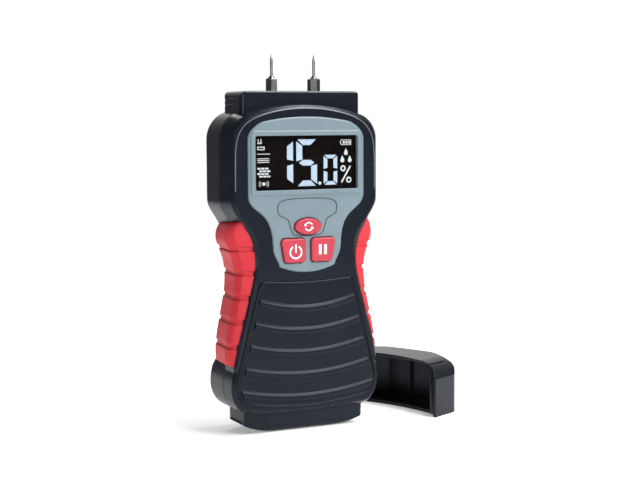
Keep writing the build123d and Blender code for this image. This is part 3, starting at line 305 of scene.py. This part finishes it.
SEGMENT = lit("segment_blue", (0.29, 0.37, 0.46), (0.31, 0.395, 0.49), 0.75)
MARK = lit("mark_white", (0.42, 0.45, 0.46), (0.46, 0.49, 0.5), 0.6)


def paint_nodes():
    """Each CAD node takes the material of its slot in the record."""
    for part in frame["record"]["subparts"]:
        mesh = NODES[part["node"]].data
        for index in range(max(1, len(mesh.materials))):
            if index < len(mesh.materials):
                mesh.materials[index] = MATERIALS[part["material_slot"]]
            else:
                mesh.materials.append(MATERIALS[part["material_slot"]])


# ---------------------------------------------------------------- flat marks and thin lines, in mm

MARK_DEPTH = 0.04
DISPLAY_LIFT = 0.03
LEGEND_LIFT = 0.01
MODE_Z = 91.8
NAME_LINE_SINK = 0.42
NAME_LINE_RADIUS = 0.16
FRONT_BEVEL_Y = -14.75
LIP_RADIUS = 0.36
RIDGE_HALF = 27.0
RIDGE_STEPS = 6
RIDGE_DROP = 0.5
RIDGE_SINK = 0.2
RIDGE_RADIUS = 0.22
PAD_RIM_DEPTH = 1.05
PAD_RIM_RADIUS = 0.55


def flat_piece(name, outlines, y, material, body, holes=()):
    """Thin plate facing the front, cut from closed outlines of (x, z) in mm; holes are cut out."""
    curve = bpy.data.curves.new(name, "CURVE")
    curve.dimensions = "2D"
    curve.fill_mode = "BOTH"
    curve.extrude = MARK_DEPTH * MM / 2
    for outline in [*outlines, *holes]:
        spline = curve.splines.new("POLY")
        spline.points.add(len(outline) - 1)
        for point, (x, z) in zip(spline.points, outline):
            point.co = (x * MM, z * MM, 0.0, 1.0)
        spline.use_cyclic_u = True
    shaped = bpy.data.objects.new(name + "_curve", curve)
    bpy.context.scene.collection.objects.link(shaped)
    bpy.context.view_layer.update()
    mesh = bpy.data.meshes.new_from_object(shaped.evaluated_get(bpy.context.evaluated_depsgraph_get()))
    bpy.data.objects.remove(shaped)
    for vertex in mesh.vertices:
        x, z, lift = vertex.co
        vertex.co = (x, y * MM - lift, z)
    mesh.name = name
    mesh.materials.clear()
    mesh.materials.append(material)
    piece = bpy.data.objects.new(name, mesh)
    bpy.context.scene.collection.objects.link(piece)
    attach(piece, body)
    return piece


def circle(x, z, radius, start=0.0, sweep=2 * pi, steps=40):
    """Points (x, z) of a full circle, or of an arc with both its ends."""
    closed = abs(sweep - 2 * pi) < 1e-6
    count = steps if closed else steps + 1
    angles = [start + sweep * k / steps for k in range(count)]
    return [(x + radius * cos(angle), z + radius * sin(angle)) for angle in angles]


def bar(x0, z0, x1, z1, width):
    """Straight stroke with square ends."""
    run = Vector((x1 - x0, z1 - z0)).normalized() * width / 2
    start = [(x0 - run.y, z0 + run.x), (x0 + run.y, z0 - run.x)]
    end = [(x1 + run.y, z1 - run.x), (x1 - run.y, z1 + run.x)]
    return start + end


def arc_stroke(x, z, radius, width, start, sweep):
    """Curved stroke with square ends."""
    outer = circle(x, z, radius + width / 2, start=start, sweep=sweep)
    inner = circle(x, z, radius - width / 2, start=start, sweep=sweep)
    return outer + inner[::-1]


def drop(x, z, height, width):
    """Water drop with its point up; z is its middle."""
    round_half = width / 2
    bottom = z - height / 2 + round_half
    tip = (x, z + height / 2)
    lean = asin(round_half / (tip[1] - bottom))
    arc = circle(x, bottom, round_half, start=lean, sweep=-(pi + 2 * lean), steps=24)
    return [tip, *arc]


def seven_segments(x0, x1, z0, z1, stroke, lit_parts):
    """Outlines of the lit segments of one digit; the parts are named a to g as usual."""
    gap = stroke * 0.09
    mid = (z0 + z1) / 2
    s = stroke
    left_x, right_x = (x0, x0 + s), (x1, x1 - s)

    def level(z_out, z_in, cut):
        outer = [(x0 + cut + gap, z_out), (x1 - cut - gap, z_out)]
        return outer + [(x1 - s - gap, z_in), (x0 + s + gap, z_in)]

    def upright(outer, inner, z_far, z_far_in, z_mid_side):
        return [(outer, z_far), (inner, z_far_in), (inner, z_mid_side[1]), (outer, z_mid_side[0])]

    parts = {
        "a": level(z1, z1 - s * 0.86, s * 0.12),
        "d": level(z0, z0 + s * 0.86, s * 0.12),
        "g": [
            (x0 + s * 0.35 + gap, mid), (x0 + s + gap, mid + s * 0.43), (x1 - s - gap, mid + s * 0.43),
            (x1 - s * 0.35 - gap, mid), (x1 - s - gap, mid - s * 0.43), (x0 + s + gap, mid - s * 0.43),
        ],
        "f": upright(*left_x, z1 - s * 0.3, z1 - s, (mid + s * 0.25, mid + s * 0.5)),
        "b": upright(*right_x, z1 - s * 0.3, z1 - s, (mid + s * 0.25, mid + s * 0.5)),
        "e": upright(*left_x, z0 + s * 0.3, z0 + s, (mid - s * 0.25, mid - s * 0.5)),
        "c": upright(*right_x, z0 + s * 0.3, z0 + s, (mid - s * 0.25, mid - s * 0.5)),
    }
    return [parts[key] for key in lit_parts]


def add_display():
    """Lit reading and pictograms on the front of the LCD glass."""
    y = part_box("lcd_glass")[0].y / MM - DISPLAY_LIFT
    digits = [
        ("digit_tens", (-11.9, -6.0, 110.0, 130.0, 2.9), "bc"),
        ("digit_units", (-4.4, 5.7, 109.5, 130.1, 2.9), "afgcd"),
        ("digit_tenths", (8.95, 15.7, 109.8, 123.1, 1.85), "abcdef"),
    ]
    for name, place, lit_parts in digits:
        flat_piece(name, seven_segments(*place, lit_parts), y, SEGMENT, "housing")
    flat_piece("decimal_point", [circle(7.0, 110.6, 0.75)], y, MARK, "housing")
    drops = [drop(20.1, 124.4, 3.1, 1.9), drop(18.3, 121.2, 3.1, 1.9), drop(22.0, 121.2, 3.1, 1.9)]
    flat_piece("moisture_drops", drops, y, MARK, "housing")
    flat_piece("percent_slash", [bar(17.8, 110.7, 22.3, 118.0, 0.75)], y, MARK, "housing")
    spots = [(18.6, 117.0), (21.5, 111.8)]
    rings, middles = [[circle(x, z, radius) for x, z in spots] for radius in (1.35, 0.68)]
    flat_piece("percent_rings", rings, y, MARK, "housing", middles)
    case = [(17.0, 128.6), (17.7, 129.8), (22.7, 129.8), (22.7, 127.4), (17.7, 127.4)]
    hollow = [(17.4, 128.6), (17.9, 129.5), (22.4, 129.5), (22.4, 127.7), (17.9, 127.7)]
    flat_piece("battery_icon", [case], y, MARK, "housing", [hollow])
    cells = [bar(18.5 + 1.4 * k, 128.6, 19.5 + 1.4 * k, 128.6, 1.2) for k in range(3)]
    flat_piece("battery_cells", cells, y, MARK, "housing")
    flat_piece("rule", [bar(-23.1, 123.9, -17.0, 123.9, 0.3)], y, MARK, "housing")
    pins = [bar(x, 128.6, x, 130.4, 0.45) for x in (-22.6, -21.3)]
    flat_piece("pin_icon", [*pins, bar(-23.0, 128.6, -20.9, 128.6, 0.5)], y, MARK, "housing")
    pad = [bar(-23.1, 126.4, -19.6, 126.4, 1.5)]
    flat_piece("pad_icon", pad, y, MARK, "housing", [bar(-22.7, 126.4, -20.0, 126.4, 0.7)])
    boards = [bar(-23.1, 121.9 - 0.8 * k, -17.4, 121.9 - 0.8 * k, 0.32) for k in range(3)]
    flat_piece("wood_icon", boards, y, MARK, "housing")
    bricks = []
    for row in range(4):
        z = 117.6 - 1.15 * row
        start = -23.1 if row % 2 == 0 else -22.2
        bricks += [bar(start + 1.85 * k, z, start + 1.5 + 1.85 * k, z, 0.75) for k in range(3)]
    flat_piece("brick_icon", bricks, y, MARK, "housing")
    flat_piece("tone_dot", [circle(-20.1, 110.9, 0.75)], y, MARK, "housing")
    sides = [(radius, turn) for radius in (1.5, 2.2) for turn in (0.0, pi)]
    waves = [arc_stroke(-20.1, 110.9, radius, 0.22, turn - 0.6, 1.2) for radius, turn in sides]
    flat_piece("tone_waves", waves, y, MARK, "housing")


def add_legends():
    """White symbols on the three buttons, each riding on its own button."""
    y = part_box("power_button")[0].y / MM - LEGEND_LIFT
    ring = arc_stroke(-6.4, 80.7, 2.75, 0.72, radians(118), radians(304))
    flat_piece("power_ring", [ring], y, LEGEND, "power_button")
    flat_piece("power_bar", [bar(-6.4, 80.4, -6.4, 84.2, 0.75)], y, LEGEND, "power_button")
    bars = [bar(x, 79.2, x, 83.6, 1.3) for x in (5.5, 8.1)]
    flat_piece("hold_bars", bars, y, LEGEND, "hold_button")
    turn_radius = 1.75
    arcs = [arc_stroke(0.0, MODE_Z, turn_radius, 0.6, radians(start), radians(125)) for start in (25, 205)]
    heads = []
    for turn in (radians(150), radians(330)):
        cx, cz = turn_radius * cos(turn), MODE_Z + turn_radius * sin(turn)
        ahead = turn + pi / 2
        heads.append([
            (cx + 1.05 * cos(ahead), cz + 1.05 * sin(ahead)),
            (cx + 0.85 * cos(turn), cz + 0.85 * sin(turn)),
            (cx - 0.85 * cos(turn), cz - 0.85 * sin(turn)),
        ])
    flat_piece("mode_arrows", arcs + heads, y, LEGEND, "mode_button")


def both_sides(half):
    """Closed route from its right half, given from one end of the centre line to the other."""
    return half + [(-x, z) for x, z in half[-2:0:-1]]


def tube(name, route, y, radius, material, closed=True):
    """Thin round line on the front, along a smooth route of (x, z) in mm."""
    curve = bpy.data.curves.new(name, "CURVE")
    curve.dimensions = "3D"
    curve.bevel_depth = radius * MM
    curve.bevel_resolution = 3
    spline = curve.splines.new("NURBS")
    spline.points.add(len(route) - 1)
    for point, (x, z) in zip(spline.points, route):
        point.co = (x * MM, y * MM, z * MM, 1.0)
    spline.use_cyclic_u = closed
    spline.use_endpoint_u = not closed
    spline.order_u = 3
    spline.resolution_u = 8
    curve.materials.append(material)
    line = bpy.data.objects.new(name, curve)
    bpy.context.scene.collection.objects.link(line)
    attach(line, "housing")


def add_nameplate():
    """Thin dark tube along the groove around the blank name field and the mode button: painted shade in
    the groove.
    """
    half = [(0.0, 104.3), (9.0, 104.1), (12.6, 103.3), (14.3, 102.0), (14.4, 99.0), (13.9, 97.3),
            (12.4, 96.4), (10.2, 95.6), (9.2, 94.6), (8.6, 92.4), (7.9, 90.2), (7.1, 88.6),
            (5.9, 87.9), (0.0, 87.6)]
    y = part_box("bezel")[0].y / MM + NAME_LINE_SINK
    tube("name_field_shade_line", both_sides(half), y, NAME_LINE_RADIUS, GROOVE_SHADE)


def add_painted_highlight_lines():
    """Painted highlights: thin light grey glossy tubes along the front shell's arched bevel and the head
    block's top front edge.
    """
    half = [(0.0, 143.9), (9.0, 143.4), (17.5, 141.9), (23.5, 140.1), (27.8, 138.0), (30.9, 135.0),
            (32.9, 131.0), (33.7, 126.0), (33.9, 118.0), (33.9, 108.0)]
    route = [(-x, z) for x, z in reversed(half)] + half[1:]
    # painted highlight along the arched bevel of the front shell
    tube("arch_lip_highlight", route, FRONT_BEVEL_Y, LIP_RADIUS, MATERIALS["lip_painted_highlight"], closed=False)
    # painted highlight along the top front edge of the head block
    low, high = [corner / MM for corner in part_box("head_block")]
    steps = range(-RIDGE_STEPS, RIDGE_STEPS + 1)
    highlight_route = [(RIDGE_HALF * k / RIDGE_STEPS, high.z - RIDGE_DROP) for k in steps]
    tube("block_edge_highlight", highlight_route, low.y + RIDGE_SINK, RIDGE_RADIUS, MATERIALS["lip_painted_highlight"], closed=False)


def add_pad_border():
    """Rounded bead along the rim of the ribbed pad."""
    foot = [(9.0, 12.1), (20.0, 13.1), (28.0, 14.4), (31.6, 16.2), (33.6, 19.2), (34.0, 22.8),
            (33.5, 26.4)]
    top = [(24.4, 60.5), (23.4, 64.4), (22.3, 67.0), (19.6, 67.9), (14.0, 67.2)]
    half = [(0.0, 11.6), *foot, *top, (0.0, 66.7)]
    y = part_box("front_pad")[0].y / MM + PAD_RIM_DEPTH
    tube("pad_border", both_sides(half), y, PAD_RIM_RADIUS, MATERIALS["pad_black"])


add_camera()
add_studio()
paint_nodes()
add_display()
add_legends()
add_nameplate()
add_painted_highlight_lines()
add_pad_border()
bpy.context.scene.view_settings.view_transform = "Standard"
